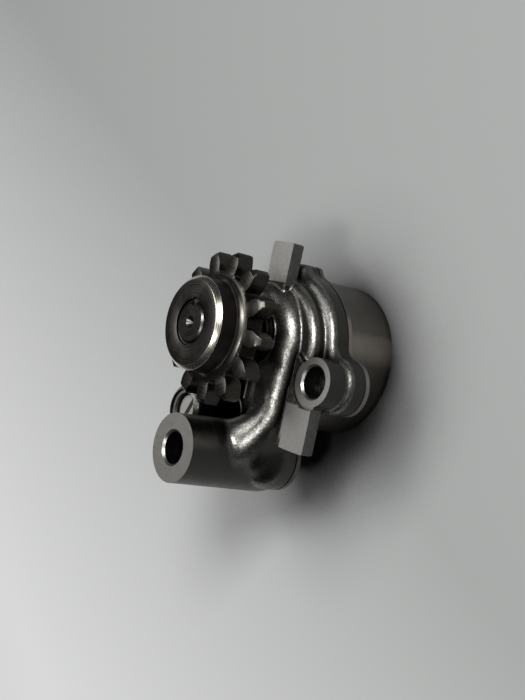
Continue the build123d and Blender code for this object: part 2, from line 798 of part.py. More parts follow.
# Slotted screw through the cover into the cup's wall, with its spring washer
with BuildPart() as cover_screw:
    with BuildSketch(Plane.XY.offset(screw_head_base)):
        with Locations(screw_place):
            Circle(screw_head_radius)
    extrude(amount=screw_head_height)
    chamfer(cover_screw.faces().sort_by(Axis.Z)[-1].edges(), screw_chamfer)
    with BuildSketch(Plane.XY.offset(screw_head_base)):
        with Locations(screw_place):
            Circle(screw_radius)
    extrude(amount=-screw_length)
    with BuildSketch(Plane.XY.offset(screw_head_base + screw_head_height)):
        with Locations(screw_place):
            Rectangle(2 * screw_head_radius, screw_slot_width)
    extrude(amount=-screw_slot_depth, mode=Mode.SUBTRACT)

with BuildPart() as screw_washer:
    with BuildSketch(Plane.XY.offset(screw_seat)):
        with Locations(screw_place):
            Circle(screw_washer_radius)
            Circle(screw_radius + running_clearance, mode=Mode.SUBTRACT)
            with Locations((screw_washer_radius, 0)):
                Rectangle(
                    screw_washer_radius,
                    screw_washer_split,
                    rotation=screw_washer_split_angle,
                    mode=Mode.SUBTRACT,
                )
    extrude(amount=screw_washer_thickness)

# Relief valve: hollow plunger, its spring, and the slotted plug that holds them
with BuildPart() as relief_plunger:
    with BuildSketch(Plane.XY.offset(valve_seat_height)):
        with Locations(valve_place):
            Circle(valve_bore_radius - running_clearance)
    extrude(amount=valve_plunger_length)
    with BuildSketch(Plane.XY.offset(valve_seat_height + valve_plunger_floor)):
        with Locations(valve_place):
            Circle(valve_bore_radius - running_clearance - valve_plunger_wall)
    extrude(amount=valve_plunger_length - valve_plunger_floor, mode=Mode.SUBTRACT)

spring_base = valve_seat_height + valve_plunger_floor + spring_wire_radius
spring_rise = plug_base - spring_wire_radius - spring_base
plunger_bore_radius = valve_bore_radius - running_clearance - valve_plunger_wall
spring_mean_radius = plunger_bore_radius - spring_clearance - spring_wire_radius
spring_foot = (valve_x, valve_y, spring_base)
with BuildPart() as relief_spring:
    with BuildLine():
        coil = Helix(spring_rise / spring_turns, spring_rise, spring_mean_radius, center=spring_foot)
    with BuildSketch(Plane(coil @ 0, z_dir=coil % 0)):
        Circle(spring_wire_radius)
    sweep(path=coil, is_frenet=True)

with BuildPart() as relief_plug:
    with BuildSketch(Plane.XY.offset(plug_base)):
        with Locations(valve_place):
            Circle(plug_radius - fit_clearance)
    extrude(amount=plug_length)
    chamfer(relief_plug.faces().sort_by(Axis.Z)[-1].edges(), plug_chamfer)
    with BuildSketch(Plane.XY.offset(plug_base + plug_length)):
        with Locations(valve_place):
            Rectangle(2 * plug_radius, plug_slot_width, rotation=plug_slot_angle)
    extrude(amount=-plug_slot_depth, mode=Mode.SUBTRACT)

# Steel ball that closes the outer end of the cross passage
with BuildPart() as passage_ball:
    with Locations(passage_mouth + passage_direction * (ball_depth + ball_radius)):
        Sphere(ball_radius)

pieces = {
    "pump_body": pump_body,
    "cover_gasket": cover_gasket,
    "pump_cover": pump_cover,
    "inner_rotor": inner_rotor,
    "outer_rotor": outer_rotor,
    "rotor_drive_pin": rotor_pin,
    "drive_shaft": drive_shaft,
    "rear_bush": rear_bush,
    "front_bush": front_bush,
    "thrust_washer": thrust_washer,
    "shaft_circlip": shaft_circlip,
    "drive_gear": drive_gear,
    "gear_key": gear_key,
    "ring_dowels": ring_dowels,
    "locating_dowel": locating_dowel,
    "cover_screw": cover_screw,
    "screw_washer": screw_washer,
    "relief_plunger": relief_plunger,
    "relief_spring": relief_spring,
    "relief_plug": relief_plug,
    "passage_ball": passage_ball,
}
for name, piece in pieces.items():
    piece.part.label = name
    export_step(piece.part, "parts/" + name + ".step")
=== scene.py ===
"""Engine oil pump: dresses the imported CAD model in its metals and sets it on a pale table."""
import json
from math import cos, pi, radians, sin

import bmesh
import bpy
from bpy.props import (
    FloatProperty,
    FloatVectorProperty,
    IntProperty,
    PointerProperty,
)
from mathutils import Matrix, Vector


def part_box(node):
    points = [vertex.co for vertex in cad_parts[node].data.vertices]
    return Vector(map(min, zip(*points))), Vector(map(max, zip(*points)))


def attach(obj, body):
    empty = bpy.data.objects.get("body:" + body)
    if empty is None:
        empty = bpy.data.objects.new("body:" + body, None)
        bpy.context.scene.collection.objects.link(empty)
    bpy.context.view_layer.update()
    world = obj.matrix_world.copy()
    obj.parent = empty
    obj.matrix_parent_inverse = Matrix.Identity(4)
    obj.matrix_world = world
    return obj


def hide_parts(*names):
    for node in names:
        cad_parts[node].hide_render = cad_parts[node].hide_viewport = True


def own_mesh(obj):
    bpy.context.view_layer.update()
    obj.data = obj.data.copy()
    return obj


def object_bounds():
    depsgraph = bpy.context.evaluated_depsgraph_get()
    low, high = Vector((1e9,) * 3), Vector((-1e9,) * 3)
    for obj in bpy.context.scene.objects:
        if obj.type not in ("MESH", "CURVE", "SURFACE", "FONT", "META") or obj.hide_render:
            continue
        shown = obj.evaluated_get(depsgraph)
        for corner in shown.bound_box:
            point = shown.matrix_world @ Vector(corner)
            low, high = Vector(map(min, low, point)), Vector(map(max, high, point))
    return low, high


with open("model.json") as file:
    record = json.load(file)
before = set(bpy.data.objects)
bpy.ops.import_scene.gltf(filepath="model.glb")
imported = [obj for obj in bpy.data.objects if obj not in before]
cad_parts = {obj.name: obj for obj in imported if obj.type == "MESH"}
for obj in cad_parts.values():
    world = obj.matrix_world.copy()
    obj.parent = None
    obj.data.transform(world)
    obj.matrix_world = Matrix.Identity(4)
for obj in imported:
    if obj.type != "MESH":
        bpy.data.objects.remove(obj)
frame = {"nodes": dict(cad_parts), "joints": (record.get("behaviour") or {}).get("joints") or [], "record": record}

bl_info = {
    "name": "Engine Oil Pump",
    "version": (1, 0, 0),
    "blender": (4, 5, 0),
    "location": "View3D > Sidebar > Oil Pump",
    "description": "Dresses a trochoid engine oil pump in cast, turned and ground metal",
    "category": "Object",
}

CAD_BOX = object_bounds()
MM = 0.001

# Corners closer than WELD are one, and a corner within TOUCH of a face's level lies on that face
WELD = MM / 1000
TOUCH = MM / 50

# How much wider a search and a cutter are than what they cover, and how tall a cutter is
SLACK = MM / 10
OVERCUT = MM / 2
TOOL_HEIGHT = 4 * MM

# Upright share of a face's normal: a wall below STEEP, a chamfer up to NEARLY_FLAT, level above FLAT
STEEP = 0.3
NEARLY_FLAT = 0.95
FLAT = 0.99

# Machined faces of the cover, in millimetres: reach, chamfer and depth of the cut bore
OUTLET_CUT = (9.4, 0.55, 20.0)
BOLT_CUT = (6.3, 0.5, 12.5)
VALVE_CUT = (4.9, 0.0, 5.0)
SHAFT_CUT = (7.6, 0.0, 10.5)

# The two lugs' machined faces, as two corners each, and how far down their sides get painted shade
LOW_LUG = ((15.4, -25.2, 0), (26.0, -12.6, 0))
TOP_LUG = ((-5.2, 17.0, 0), (6.2, 29.0, 0))
LUG_SHADE_DEPTH = 9.0

# How far the cutter of the joint face reaches past the cover
JOINT_MARGIN = 5.0

# Fillet under the elbow, as radius and height, and the soft zones round it: name, centre, reach, rounds
FOOT_PLACE = (2.4, -27.6, 0.0)
FOOT_PROFILE = ((6.9, 18.5), (6.8, 22.5), (5.6, 26.0), (3.4, 28.4))
BLENDS = (
    ("foot_blend", (6.0, -27.5, 23.0), 10.0, 260),
    ("elbow_blend", (-2.0, -29.5, 33.0), 10.0, 200),
)

# Radii that part the gear's faces, and how far the hub's edge reaches down, in millimetres
GEAR_RIM = 14.0
GEAR_SHOULDER = 13.2
HUB_RIM = 9.5
HUB_DEPTH = 2.0

# Painted shade at the elbow's foot: its centre, where it fades outwards and where it fades upwards
FOOT_SHADE_CENTRE = (4.0, -27.0)
FOOT_SHADE_EDGE = (7.0, 11.0)
FOOT_SHADE_TOP = (27.0, 31.0)

# Painted highlight down the cup: the side that it lies on, its fading edge and its strength
SHEEN_SIDE = (0.97, 0.243, 0.0)
SHEEN_EDGE = (19.5, 19.99)
SHEEN_STRENGTH = 0.8
SHEEN_TINT = (2.5, 2.25, 2.0)

# The table's colour darkens in this direction between two distances, a painted light falloff, and under the pump,
# a painted shadow
SHADE_WAY = (0.45, 0.89, 0)
SHADE_SPAN = (-180, -10)
# Painted shadow under the pump: its reach, its span and its tone
CONTACT_SHADOW_REACH = 34.0
CONTACT_SHADOW_SPAN = (0.42, 0.92)
CONTACT_SHADOW_TONE = (0.004, 0.004, 0.004)
ROOM_TINT = (0.9, 0.93, 1.0, 1)

# Lamps: name, place from the pump's centre and side of the square in metres, setting of the power
LAMPS = (
    ("ceiling_lamp", (0.70, 0.66, 1.00), 0.52, "main_power"),
    ("window", (-0.42, 0.34, 1.30), 0.8, "window_power"),
    ("bulb", (0.564, -0.40, 1.18), 0.24, "spark_power"),
)

# Material slots of the cover after its cast one, and then of the gear; the lug sides, bore walls, tooth flanks and
# hub wall get darker copies of their metals as painted shade
MILLED, CUT_RIM, SHADED_LUG_SIDE, SHADED_BORE_WALL = range(1, 5)
TOOTH_FACE, SHADED_FLANK, HUB_FACE, HUB_CHAMFER, SHADED_HUB_WALL = range(5)


def colour(name, description, default):
    """Setting for a colour."""
    return FloatVectorProperty(
        name=name, description=description, subtype="COLOR", size=3, min=0, max=1, default=default
    )


def width(name, description, default, least=0.0):
    """Setting for a small size, in millimetres."""
    return FloatProperty(
        name=name, description=f"{description}, in millimetres", default=default, min=least
    )


def power(name, description, default):
    """Setting for the power of a lamp."""
    return FloatProperty(name=name, description=description, default=default, min=0, unit="POWER")


class CastingFinish(bpy.types.PropertyGroup):
    """Die-cast cover: colours, sand grain and softness."""

    metal: colour("Metal", "Colour of the bare casting", (0.52, 0.507, 0.47))
    # Colour of the casting's painted shade in its hollows
    hollow_shade: colour("Hollow shade", "Colour of the painted shade in the hollows", (0.010, 0.009, 0.008))
    face: colour("Machined face", "Colour of the milled faces", (0.50, 0.49, 0.46))
    rim: colour("Cut rim", "Colour of the bored and chamfered rims", (0.42, 0.41, 0.385))
    grain: width("Grain", "Size of the casting's sand grain", 0.42, least=0.05)
    relief: width("Relief", "Depth of the sand grain", 0.04)
    cell: width("Cell", "Size of the mesh cells of the casting", 0.25, least=0.1)
    softness: IntProperty(
        name="Softness", description="How often the casting's corners are smoothed", default=22, min=0
    )
    stock: width("Machining stock", "Metal cut off each machined face", 1.5)


class MachinedFinish(bpy.types.PropertyGroup):
    """Turned, ground and sintered pieces: colours, broken edges and tool marks."""

    cup: colour("Cup", "Colour of the turned cup", (0.125, 0.117, 0.104))
    gear: colour("Gear", "Colour of the oiled gear steel", (0.11, 0.103, 0.092))
    bright: colour("Turned chamfer", "Colour of the hub's bright chamfer", (0.78, 0.74, 0.65))
    behind_gear: colour("Oily steel", "Colour of the washers behind the gear", (0.03, 0.028, 0.025))
    shaft: colour("Shaft", "Colour of the ground shaft", (0.15, 0.146, 0.134))
    steel: colour("Small parts", "Colour of screws, pins and plugs", (0.42, 0.41, 0.385))
    bronze: colour("Bush", "Colour of the bronze bushes", (0.42, 0.28, 0.14))
    rotor: colour("Rotor", "Colour of the sintered rotors", (0.17, 0.17, 0.17))
    seal: colour("Gasket", "Colour of the gasket", (0.012, 0.012, 0.012))
    edge: width("Edge break", "Width of the broken edges of the gear", 0.16)
    pitch: width("Tool mark pitch", "Distance between tool marks", 0.28, least=0.02)


class StudioSettings(bpy.types.PropertyGroup):
    """Table, lamps and camera."""

    camera_place: FloatVectorProperty(
        name="Camera place", description="Where the camera stands", subtype="TRANSLATION", unit="LENGTH",
        size=3, default=(0.2248, 0.00885, 0.2032)
    )
    camera_turn: FloatVectorProperty(
        name="Camera turn", description="How the camera is turned", subtype="EULER", unit="ROTATION",
        size=3, default=(radians(13.195), radians(50.728), radians(19.402))
    )
    lens: FloatProperty(name="Lens", description="Focal length in millimetres", default=56.57, min=1)
    table_size: FloatProperty(
        name="Table size", description="Side of the square table", default=6.0, min=0.5, unit="LENGTH"
    )
    # Painted light falloff: the table goes from this pale tone to the dark one
    table_lit_tone: colour("Pale side", "Colour of the table on the outlet's side", (0.80, 0.81, 0.80))
    table_shaded_tone: colour("Dark side", "Colour of the table on the other side", (0.375, 0.384, 0.377))
    main_power: power("Ceiling lamp", "Power of the main lamp", 12.5)
    window_power: power("Window", "Power of the window", 8.0)
    spark_power: power("Bulb", "Power of the small bulb", 5.0)
    room: FloatProperty(
        name="Room light", description="Strength of the room's soft light", default=0.02, min=0
    )


class ShaderSheet:
    """Node tree of one material, with short calls for the nodes that the metals share."""

    def __init__(self, name):
        self.material = bpy.data.materials.new(name)
        self.material.use_nodes = True
        self.tree = self.material.node_tree
        self.shader = self.tree.nodes["Principled BSDF"]
        scale = self.vector("SCALE", self.node("ShaderNodeTexCoord").outputs["Object"])
        scale.inputs["Scale"].default_value = 1 / MM
        self.place = scale.outputs[0]

    def node(self, kind, **settings):
        """New node of this kind with its settings."""
        made = self.tree.nodes.new(kind)
        for key, value in settings.items():
            setattr(made, key, value)
        return made

    def link(self, source, target):
        """Joins an output to an input."""
        self.tree.links.new(source, target)

    def vector(self, operation, source, second=None):
        """Node for one sum on a place or direction."""
        made = self.node("ShaderNodeVectorMath", operation=operation)
        self.link(source, made.inputs[0])
        if second is not None:
            made.inputs[1].default_value = second
        return made

    def math(self, operation, first, second):
        """Result of one sum on outputs or numbers."""
        made = self.node("ShaderNodeMath", operation=operation)
        for socket, value in zip(made.inputs, (first, second)):
            if isinstance(value, (int, float)):
                socket.default_value = value
            else:
                self.link(value, socket)
        return made.outputs[0]

    def noise(self, size, detail=2.0, roughness=0.5, place=None):
        """Noise with features of about this size in millimetres."""
        made = self.node("ShaderNodeTexNoise")
        self.link(place or self.place, made.inputs["Vector"])
        made.inputs["Scale"].default_value = 1 / size
        made.inputs["Detail"].default_value = detail
        made.inputs["Roughness"].default_value = roughness
        return made.outputs["Fac"]

    def line_noise(self, along, size, detail):
        """Noise that changes only with one value, as tool marks do."""
        made = self.node("ShaderNodeTexNoise", noise_dimensions="1D")
        self.link(along, made.inputs["W"])
        made.inputs["Scale"].default_value = 1 / size
        made.inputs["Detail"].default_value = detail
        return made.outputs["Fac"]

    def stretched(self, factors):
        """Place stretched along the axes, for scratches."""
        return self.vector("MULTIPLY", self.place, factors).outputs[0]

    def radius(self, centre):
        """Distance from an upright axis, in millimetres."""
        offset = self.vector("SUBTRACT", self.place, (*centre, 0))
        flat = self.vector("MULTIPLY", offset.outputs[0], (1, 1, 0))
        return self.vector("LENGTH", flat.outputs[0]).outputs["Value"]

    def along(self, direction):
        """Distance along a direction, in millimetres."""
        return self.vector("DOT_PRODUCT", self.place, direction).outputs["Value"]

    def upright(self, source):
        """Upright share of a place or direction."""
        split = self.node("ShaderNodeSeparateXYZ")
        self.link(source, split.inputs[0])
        return split.outputs["Z"]

    def height(self):
        """Height above the table, in millimetres."""
        return self.upright(self.place)

    def upward(self):
        """How far the surface looks away from the table: 1 for a level face, 0 for a wall."""
        return self.upright(self.node("ShaderNodeNewGeometry").outputs["Normal"])

    def stretch(self, value, low, high, start=0.0, end=1.0):
        """Value carried from low..high to start..end, held at both ends."""
        made = self.node("ShaderNodeMapRange")
        self.link(value, made.inputs["Value"])
        ends = {"From Min": low, "From Max": high, "To Min": start, "To Max": end}
        for socket, number in ends.items():
            made.inputs[socket].default_value = number
        return made.outputs["Result"]

    def mix(self, factor, first, second):
        """Colour between two colours or outputs."""
        made = self.node("ShaderNodeMix", data_type="RGBA")
        self.link(factor, made.inputs["Factor"])
        for socket, value in zip((made.inputs[6], made.inputs[7]), (first, second)):
            if isinstance(value, bpy.types.NodeSocket):
                self.link(value, socket)
            else:
                socket.default_value = (*value[:3], 1)
        return made.outputs[2]

    def hollows(self, reach):
        """Light that reaches a point from its surroundings: 0 deep in a corner."""
        made = self.node("ShaderNodeAmbientOcclusion", samples=8)
        made.inputs["Distance"].default_value = reach * MM
        return made.outputs["AO"]

    def oiled(self, base, dark, reach):
        """Base colour with painted shade in hollows of this reach in millimetres."""
        return self.mix(self.stretch(self.hollows(reach), 0.3, 0.9), dark, base)

    def relief(self, value, depth, normal=None):
        """Bump of this depth in millimetres."""
        made = self.node("ShaderNodeBump")
        made.inputs["Distance"].default_value = depth * MM
        self.link(value, made.inputs["Height"])
        if normal is not None:
            self.link(normal, made.inputs["Normal"])
        return made.outputs["Normal"]

    def finish(self, base, roughness, normal):
        """Metal surface from its colour, roughness and relief."""
        self.shader.inputs["Metallic"].default_value = 1.0
        self.link(base, self.shader.inputs["Base Color"])
        self.link(roughness, self.shader.inputs["Roughness"])
        self.link(normal, self.shader.inputs["Normal"])
        return self.material


def scaled(tone, factor):
    """Colour made lighter or darker by a factor."""
    return tuple(min(1.0, channel * factor) for channel in tone)


def cast_metal(finish):
    """Sand-textured die-cast aluminium, with painted shade on its walls, under the elbow and in its hollows."""
    sheet = ShaderSheet("cast_aluminium")
    patches = sheet.stretch(sheet.noise(6.0, detail=4.0, roughness=0.6), 0.38, 0.66)
    base = sheet.mix(patches, finish.metal, scaled(finish.metal, 0.62))
    salt = sheet.stretch(sheet.noise(finish.grain, detail=2.0), 0.42, 0.6)
    base = sheet.mix(salt, scaled(finish.metal, 0.42), base)
    pits = sheet.stretch(sheet.noise(finish.grain * 1.2, detail=0.0), 0.2, 0.28)
    base = sheet.mix(pits, scaled(finish.metal, 0.25), base)
    # Painted shade: walls get a much darker copy of the metal than level faces
    level = sheet.stretch(sheet.upward(), 0.1, 0.62)
    base = sheet.mix(level, scaled(finish.metal, 0.1), base)
    # Painted shade: a darker copy of the metal low down near the elbow's foot
    beside = sheet.stretch(sheet.radius(FOOT_SHADE_CENTRE), *FOOT_SHADE_EDGE)
    above = sheet.stretch(sheet.height(), *FOOT_SHADE_TOP)
    base = sheet.mix(sheet.math("MAXIMUM", beside, above), scaled(finish.metal, 0.12), base)
    # Painted shade: near black in the casting's hollows and under the gear
    open_sky = sheet.stretch(sheet.hollows(8.0), 0.55, 0.98)
    base = sheet.mix(open_sky, finish.hollow_shade, base)
    roughness = sheet.stretch(patches, 0.0, 1.0, 0.31, 0.38)
    swell = sheet.relief(sheet.noise(2.6, detail=2.0), finish.relief * 3.5)
    grain = sheet.noise(finish.grain, detail=3.0, roughness=0.65)
    return sheet.finish(base, roughness, sheet.relief(grain, finish.relief, swell))


def milled_metal(name, tone, smooth):
    """Milled aluminium: fine cutter lines, scuffs and painted shade in its hollows."""
    sheet = ShaderSheet(name)
    lines = sheet.line_noise(sheet.along((0.6, 0.8, 0.1)), 0.22, detail=2.0)
    scuffs = sheet.stretch(sheet.noise(1.4, detail=5.0, roughness=0.7), 0.35, 0.7)
    base = sheet.mix(scuffs, scaled(tone, 1.12), scaled(tone, 0.72))
    # Painted shade in the milled metal's hollows
    base = sheet.oiled(base, scaled(tone, 0.25), 2.5)
    roughness = sheet.stretch(scuffs, 0.0, 1.0, smooth, smooth + 0.16)
    return sheet.finish(base, roughness, sheet.relief(lines, 0.006))


def turned_metal(finish, name, tone, centre=(0.0, 0.0), wall=False, smooth=0.26):
    """Lathe-turned metal: rings on the faces, or lines round the wall with a painted highlight down it."""
    sheet = ShaderSheet(name)
    along = sheet.height() if wall else sheet.radius(centre)
    marks = sheet.line_noise(along, finish.pitch, detail=3.0)
    smear = sheet.noise(4.0, detail=4.0, roughness=0.6)
    base = sheet.mix(sheet.stretch(marks, 0.3, 0.7), scaled(tone, 0.8), scaled(tone, 1.15))
    base = sheet.mix(sheet.stretch(smear, 0.45, 0.7, 0.0, 0.4), base, scaled(tone, 0.55))
    # Painted shade in the turned metal's hollows
    base = sheet.oiled(base, scaled(tone, 0.3), 3.0)
    if wall:
        base = painted_wall_sheen(sheet, base, tone)
    blend = sheet.math("ADD", sheet.math("MULTIPLY", marks, 0.5), sheet.math("MULTIPLY", smear, 0.5))
    roughness = sheet.stretch(blend, 0.35, 0.65, smooth, smooth + 0.2)
    return sheet.finish(base, roughness, sheet.relief(marks, 0.006))


def painted_wall_sheen(sheet, base, tone):
    """Base colour with a painted highlight down a turned wall, its shine drawn out round the axis."""
    sheet.shader.inputs["Anisotropic"].default_value = 0.7
    sheet.shader.inputs["Anisotropic Rotation"].default_value = 0.25
    around = sheet.node("ShaderNodeTangent", direction_type="RADIAL", axis="Z")
    sheet.link(around.outputs["Tangent"], sheet.shader.inputs["Tangent"])
    # Painted highlight: a bright band painted on one side of the cup's wall
    sheen = sheet.stretch(sheet.along(SHEEN_SIDE), *SHEEN_EDGE, 0.0, SHEEN_STRENGTH)
    return sheet.mix(sheen, base, scaled(SHEEN_TINT, tone[2]))


def plain_steel(name, tone, smooth):
    """Ground steel with light scratches and handling marks."""
    sheet = ShaderSheet(name)
    scratches = sheet.noise(0.35, detail=3.0, place=sheet.stretched((1, 1, 6)))
    smear = sheet.noise(2.5, detail=4.0, roughness=0.6)
    base = sheet.mix(sheet.stretch(smear, 0.35, 0.7), scaled(tone, 1.1), scaled(tone, 0.65))
    # Painted shade in the steel's hollows
    base = sheet.oiled(base, scaled(tone, 0.3), 2.0)
    roughness = sheet.stretch(smear, 0.3, 0.7, smooth, smooth + 0.2)
    return sheet.finish(base, roughness, sheet.relief(scratches, 0.008))


def seal_sheet(finish):
    """Dark fibre gasket."""
    sheet = ShaderSheet("gasket")
    fibre = sheet.noise(0.3, detail=4.0)
    base = sheet.mix(fibre, scaled(finish.seal, 0.6), scaled(finish.seal, 1.6))
    material = sheet.finish(base, sheet.stretch(fibre, 0.2, 0.8, 0.6, 0.9), sheet.relief(fibre, 0.02))
    sheet.shader.inputs["Metallic"].default_value = 0.0
    return material


def table_top(studio):
    """Matt table, with a painted light falloff across it and a painted shadow where the pump stands on it."""
    sheet = ShaderSheet("table_top")
    # Painted light falloff: the table's colour fades from pale to dark across it
    shade = sheet.stretch(sheet.along(SHADE_WAY), *SHADE_SPAN)
    base = sheet.mix(shade, studio.table_lit_tone, studio.table_shaded_tone)
    # Painted shadow: the table goes near black close to and under the pump
    contact_shadow = sheet.stretch(sheet.hollows(CONTACT_SHADOW_REACH), *CONTACT_SHADOW_SPAN)
    base = sheet.mix(contact_shadow, CONTACT_SHADOW_TONE, base)
    sheet.link(base, sheet.shader.inputs["Base Color"])
    sheet.shader.inputs["Roughness"].default_value = 0.6
    return sheet.material


def mount(name):
    """Place and radius of one of the pump's mounts, in metres."""
    found = next(m for m in frame["record"]["mounts"] if m["name"] == name)
    return Vector(found["pos_m"]), found["dims"].get("r_mm", 0) * MM


def joint(name):
    """One of the pump's joints."""
    return next(j for j in frame["joints"] if j["name"] == name)


def box_middle(node):
    """Middle of a CAD node's box, and half its width."""
    low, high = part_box(node)
    return (low + high) / 2, (high.x - low.x) / 2


def set_down(name, data):
    """New object in the scene that holds a mesh, a lamp or a camera."""
    made = bpy.data.objects.new(name, data)
    bpy.context.scene.collection.objects.link(made)
    return made


def paint(piece, *materials):
    """Gives a piece its materials in place of the ones that it has."""
    piece.data.materials.clear()
    for material in materials:
        piece.data.materials.append(material)


def paint_nodes(nodes, material):
    """Gives the objects of CAD nodes one material."""
    for node in nodes:
        paint(frame["nodes"][node], material)


def shade_smooth(mesh, angle):
    """Smooth shading that stays crisp at corners over this angle in degrees."""
    mesh.set_sharp_from_angle(angle=radians(angle))
    for face in mesh.polygons:
        face.use_smooth = True


def cad_shape(node):
    """Shape of a CAD node with its doubled corners welded."""
    shape = bmesh.new()
    shape.from_mesh(frame["nodes"][node].data)
    bmesh.ops.remove_doubles(shape, verts=shape.verts, dist=WELD)
    return shape


def as_mesh(shape, name):
    """Mesh made from a shape, which is freed."""
    mesh = bpy.data.meshes.new(name)
    shape.to_mesh(mesh)
    shape.free()
    return mesh


def worked(piece):
    """Piece with its modifiers carried into its mesh."""
    settled = piece.evaluated_get(bpy.context.evaluated_depsgraph_get())
    mesh = bpy.data.meshes.new_from_object(settled)
    piece.modifiers.clear()
    old = piece.data
    piece.data = mesh
    bpy.data.meshes.remove(old)
    return piece


def turn(shape, profile, centre, steps=96):
    """Adds a closed body of revolution about an upright axis to the shape."""
    rings = []
    for radius, height in profile:
        ring = []
        for step in range(steps):
            angle = 2 * pi * step / steps
            corner = (centre.x + radius * cos(angle), centre.y + radius * sin(angle), height)
            ring.append(shape.verts.new(corner))
        rings.append(ring)
    for low, high in zip(rings, rings[1:]):
        for step in range(steps):
            after = (step + 1) % steps
            shape.faces.new((low[step], low[after], high[after], high[step]))
    shape.faces.new(list(reversed(rings[0])))
    shape.faces.new(rings[-1])


def block(shape, low, high):
    """Adds a closed box between two corners to the shape."""
    made = bmesh.ops.create_cube(shape, size=1.0)["verts"]
    for vertex in made:
        vertex.co = Vector([(a + b) / 2 + (b - a) * c for a, b, c in zip(low, high, vertex.co)])


class MachinedPad:
    """One round machined face of the casting, with the bore through it."""

    def __init__(self, centre, bore=0.0, cut=(0.0, 0.0, 0.0), behind_gear=False):
        self.centre = centre
        self.bore = bore
        self.reach, self.mouth, self.depth = (size * MM for size in cut)
        self.behind_gear = behind_gear
        self.level = 0.0

    def holds(self, place, margin=0.0):
        """Whether a place lies over the pad."""
        return (place.xy - self.centre.xy).length < self.reach + margin

    def find_level(self, shape):
        """Takes the height of the pad from the highest corner of the CAD shape at its bore's mouth."""
        mouth = self.bore + self.mouth + SLACK
        self.level = max(v.co.z for v in shape.verts if (v.co.xy - self.centre.xy).length < mouth)

    def add_stock(self, shape, stock):
        """Lifts the face by the machining stock."""
        for vertex in shape.verts:
            if self.holds(vertex.co, SLACK) and abs(vertex.co.z - self.level) < TOUCH:
                vertex.co.z += stock

    def fill_bore(self, shape, stock):
        """Closes the mouth of the bore, which is cut again later."""
        if self.bore:
            wide = self.bore + self.mouth + 2 * SLACK
            turn(shape, [(wide, self.level - TOOL_HEIGHT), (wide, self.level + stock * 0.9)], self.centre)

    def cut(self, shape):
        """Adds the tool that cuts the face, the mouth and the bore."""
        wide = self.reach + OVERCUT
        profile = [
            (self.bore, self.level - self.depth),
            (self.bore, self.level - self.mouth),
            (self.bore + self.mouth, self.level),
            (wide, self.level),
            (wide, self.level + TOOL_HEIGHT),
        ]
        turn(shape, profile, self.centre)

    def slot_of(self, face):
        """Material slot of one face near the pad, or None where it stays cast."""
        # Painted shade: the face of the pad behind the gear, and the bore walls, get a dark copy of the rim metal
        if abs(face.center.z - self.level) < TOUCH / 2 and face.normal.z > FLAT:
            return SHADED_BORE_WALL if self.behind_gear else MILLED
        if (face.center.xy - self.centre.xy).length < self.bore + self.mouth:
            return CUT_RIM if face.normal.z > STEEP else SHADED_BORE_WALL
        return None


class MachinedLug(MachinedPad):
    """Square machined face on a cast lug."""

    def __init__(self, corners):
        low, high = (Vector(corner) * MM for corner in corners)
        super().__init__((low + high) / 2)
        self.half = (high - low) / 2

    def holds(self, place, margin=0.0):
        """Whether a place lies over the lug's face."""
        away = place - self.centre
        return abs(away.x) < self.half.x + margin and abs(away.y) < self.half.y + margin

    def find_level(self, shape):
        """Takes the height of the lug's face from its highest corner."""
        self.level = max(v.co.z for v in shape.verts if self.holds(v.co))

    def cut(self, shape):
        """Adds the tool that cuts the lug's face."""
        low = self.centre - self.half
        high = self.centre + self.half
        low.z = self.level
        high.z = self.level + TOOL_HEIGHT
        block(shape, low, high)

    def slot_of(self, face):
        """Material slot of one face of the lug, or None where it stays cast."""
        if abs(face.center.z - self.level) < TOUCH / 2 and face.normal.z > FLAT:
            return MILLED
        # Painted shade: the lug's sides get a dark copy of the milled metal
        return SHADED_LUG_SIDE if face.center.z > self.level - LUG_SHADE_DEPTH * MM else None


